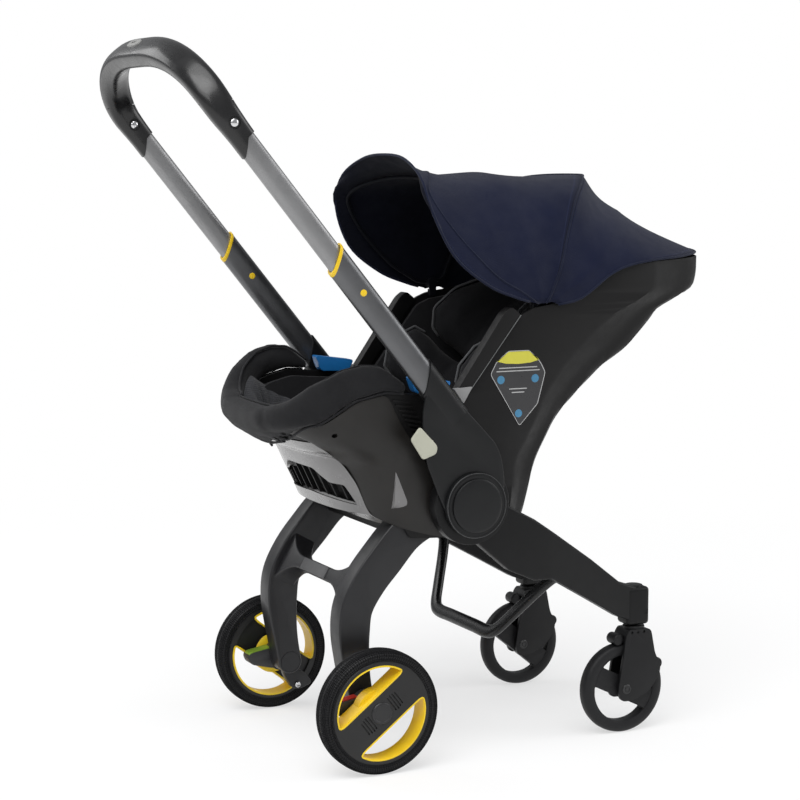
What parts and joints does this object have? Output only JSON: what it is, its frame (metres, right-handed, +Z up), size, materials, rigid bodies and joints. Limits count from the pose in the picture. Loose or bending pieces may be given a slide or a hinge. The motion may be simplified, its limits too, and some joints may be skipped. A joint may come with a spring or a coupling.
{
  "type": "car seat stroller",
  "caption": "Infant car seat with its own folding legs and wheels, a telescoping push handle, a folding canopy and a padded foot cover.",
  "frame": {"origin": "on the floor, at the centre of the bounding box seen from above", "axes": "+X the way it travels when pushed, +Y its left side, +Z up"},
  "size_m": [0.8568, 0.4448, 0.9936],
  "materials": {
    "satin_black": "satin",
    "warm_black": "satin",
    "gloss_grey": "gloss",
    "pale_grey": "satin",
    "yellow": "satin",
    "blue": "gloss",
    "red": "satin",
    "green": "satin",
    "tube_metal": "anodised",
    "steel": "bright",
    "tyre_rubber": "matt",
    "navy_fabric": "woven",
    "charcoal_fabric": "padded",
    "webbing": "woven"
  },
  "bodies": {
    "seat": {"seat_shell": "satin_black", "side_panel_left": "warm_black", "side_panel_right": "warm_black", "foot_tray": "gloss_grey", "side_rail_left": "satin_black", "side_rail_right": "satin_black", "seat_liner": "charcoal_fabric", "head_support": "charcoal_fabric", "body_support": "charcoal_fabric", "foot_cover": "charcoal_fabric", "shoulder_strap_left": "webbing", "shoulder_strap_right": "webbing", "buckle": "satin_black", "belt_guide_left": "blue", "belt_guide_right": "blue", "hub_pin_left": "steel", "hub_pin_right": "steel", "rear_leg_pin_left": "steel", "rear_leg_pin_right": "steel", "canopy_pivot_left": "satin_black", "canopy_pivot_right": "satin_black"},
    "buckle_button": {"buckle_button": "red"},
    "handle": {"handle_arm_left": "satin_black", "handle_arm_right": "satin_black", "hub_cap_left": "satin_black", "hub_cap_right": "satin_black", "outer_tube_left": "tube_metal", "outer_tube_right": "tube_metal", "tube_collar_left": "yellow", "tube_collar_right": "yellow"},
    "handle_upper": {"inner_tube_left": "tube_metal", "inner_tube_right": "tube_metal", "grip": "satin_black"},
    "grip_button": {"grip_button": "gloss_grey"},
    "release_button_left": {"release_button_left": "pale_grey"},
    "release_button_right": {"release_button_right": "pale_grey"},
    "front_legs": {"front_leg_left": "satin_black", "front_leg_right": "satin_black", "cross_tube": "satin_black"},
    "rear_legs": {"rear_leg_frame": "satin_black", "wheel_axle_left": "steel", "wheel_axle_right": "steel"},
    "canopy_mid": {"canopy_mid_bow": "satin_black", "canopy_rear_panel": "navy_fabric"},
    "canopy_front": {"canopy_front_bow": "satin_black", "canopy_visor": "navy_fabric", "canopy_front_panel": "navy_fabric"},
    "caster_fork_left": {"caster_fork_left": "satin_black"},
    "caster_wheel_left": {"caster_wheel_left": "satin_black"},
    "wheel_left": {"tyre_left": "tyre_rubber", "wheel_core_left": "yellow", "wheel_face_left": "gloss_grey"},
    "brake_pedal_left": {"brake_pedal_left": "green"},
    "caster_fork_right": {"caster_fork_right": "satin_black"},
    "caster_wheel_right": {"caster_wheel_right": "satin_black"},
    "wheel_right": {"tyre_right": "tyre_rubber", "wheel_core_right": "yellow", "wheel_face_right": "gloss_grey"},
    "brake_pedal_right": {"brake_pedal_right": "red"}
  },
  "joints": [
    {"name": "handle_tilt", "type": "hinge", "parent": "seat", "child": "handle", "pos_m": [-0.01165, 0, 0.3626], "axis": [0, 1, 0], "range_deg": [-12, 39]},
    {"name": "handle_length", "type": "slide", "parent": "handle", "child": "handle_upper", "axis": [-0.6293, 0, 0.7771], "range_m": [-0.18, 0]},
    {"name": "grip_button_press", "type": "slide", "parent": "handle_upper", "child": "grip_button", "axis": [0.6293, 0, -0.7771], "range_m": [0, 0.003], "stiffness_N_per_m": 300, "springref_m": -0.004},
    {"name": "front_legs_fold", "type": "hinge", "parent": "seat", "child": "front_legs", "pos_m": [-0.01165, 0, 0.3626], "axis": [0, -1, 0], "range_deg": [0, 48.6]},
    {"name": "rear_legs_fold", "type": "hinge", "parent": "seat", "child": "rear_legs", "pos_m": [-0.02615, 0, 0.335], "axis": [0, 1, 0], "range_deg": [0, 50.6]},
    {"name": "canopy_mid_fold", "type": "hinge", "parent": "seat", "child": "canopy_mid", "pos_m": [0.10685, 0, 0.6416], "axis": [0, 1, 0], "range_deg": [0, 26], "deforming": ["canopy_rear_panel"]},
    {"name": "canopy_front_fold", "type": "hinge", "parent": "canopy_mid", "child": "canopy_front", "pos_m": [0.10685, 0, 0.6416], "axis": [0, 1, 0], "range_deg": [0, 55], "deforming": ["canopy_front_panel"]},
    {"name": "buckle_button_press", "type": "slide", "parent": "seat", "child": "buckle_button", "axis": [1, 0, 0], "range_m": [0, 0.003], "stiffness_N_per_m": 300, "springref_m": -0.004},
    {"name": "release_button_left_press", "type": "slide", "parent": "handle", "child": "release_button_left", "axis": [0, -1, 0], "range_m": [0, 0.003], "stiffness_N_per_m": 300, "springref_m": -0.004},
    {"name": "caster_swivel_left", "type": "hinge", "parent": "front_legs", "child": "caster_fork_left", "pos_m": [0.27835, 0.156, 0.157], "axis": [0, 0, 1], "continuous": true},
    {"name": "caster_roll_left", "type": "hinge", "parent": "caster_fork_left", "child": "caster_wheel_left", "pos_m": [0.25785, 0.156, 0.066], "axis": [0, 1, 0], "continuous": true},
    {"name": "wheel_roll_left", "type": "hinge", "parent": "rear_legs", "child": "wheel_left", "pos_m": [-0.15115, 0.1945, 0.0863], "axis": [0, 1, 0], "continuous": true},
    {"name": "brake_pedal_left_press", "type": "hinge", "parent": "rear_legs", "child": "brake_pedal_left", "pos_m": [-0.15115, 0.1625, 0.0863], "axis": [0, -1, 0], "range_deg": [-14, 0]},
    {"name": "release_button_right_press", "type": "slide", "parent": "handle", "child": "release_button_right", "axis": [0, 1, 0], "range_m": [0, 0.003], "stiffness_N_per_m": 300, "springref_m": -0.004},
    {"name": "caster_swivel_right", "type": "hinge", "parent": "front_legs", "child": "caster_fork_right", "pos_m": [0.27835, -0.156, 0.157], "axis": [0, 0, 1], "continuous": true},
    {"name": "caster_roll_right", "type": "hinge", "parent": "caster_fork_right", "child": "caster_wheel_right", "pos_m": [0.25785, -0.156, 0.066], "axis": [0, 1, 0], "continuous": true},
    {"name": "wheel_roll_right", "type": "hinge", "parent": "rear_legs", "child": "wheel_right", "pos_m": [-0.15115, -0.1945, 0.0863], "axis": [0, 1, 0], "continuous": true},
    {"name": "brake_pedal_right_press", "type": "hinge", "parent": "rear_legs", "child": "brake_pedal_right", "pos_m": [-0.15115, -0.1625, 0.0863], "axis": [0, -1, 0], "range_deg": [0, 14]}
  ],
  "couplings": [
    {"joint": "rear_legs_fold", "follows": "front_legs_fold", "ratio": 1.0407},
    {"joint": "canopy_front_fold", "follows": "canopy_mid_fold", "ratio": 2.11},
    {"joint": "brake_pedal_left_press", "follows": "brake_pedal_right_press", "ratio": -1}
  ]
}
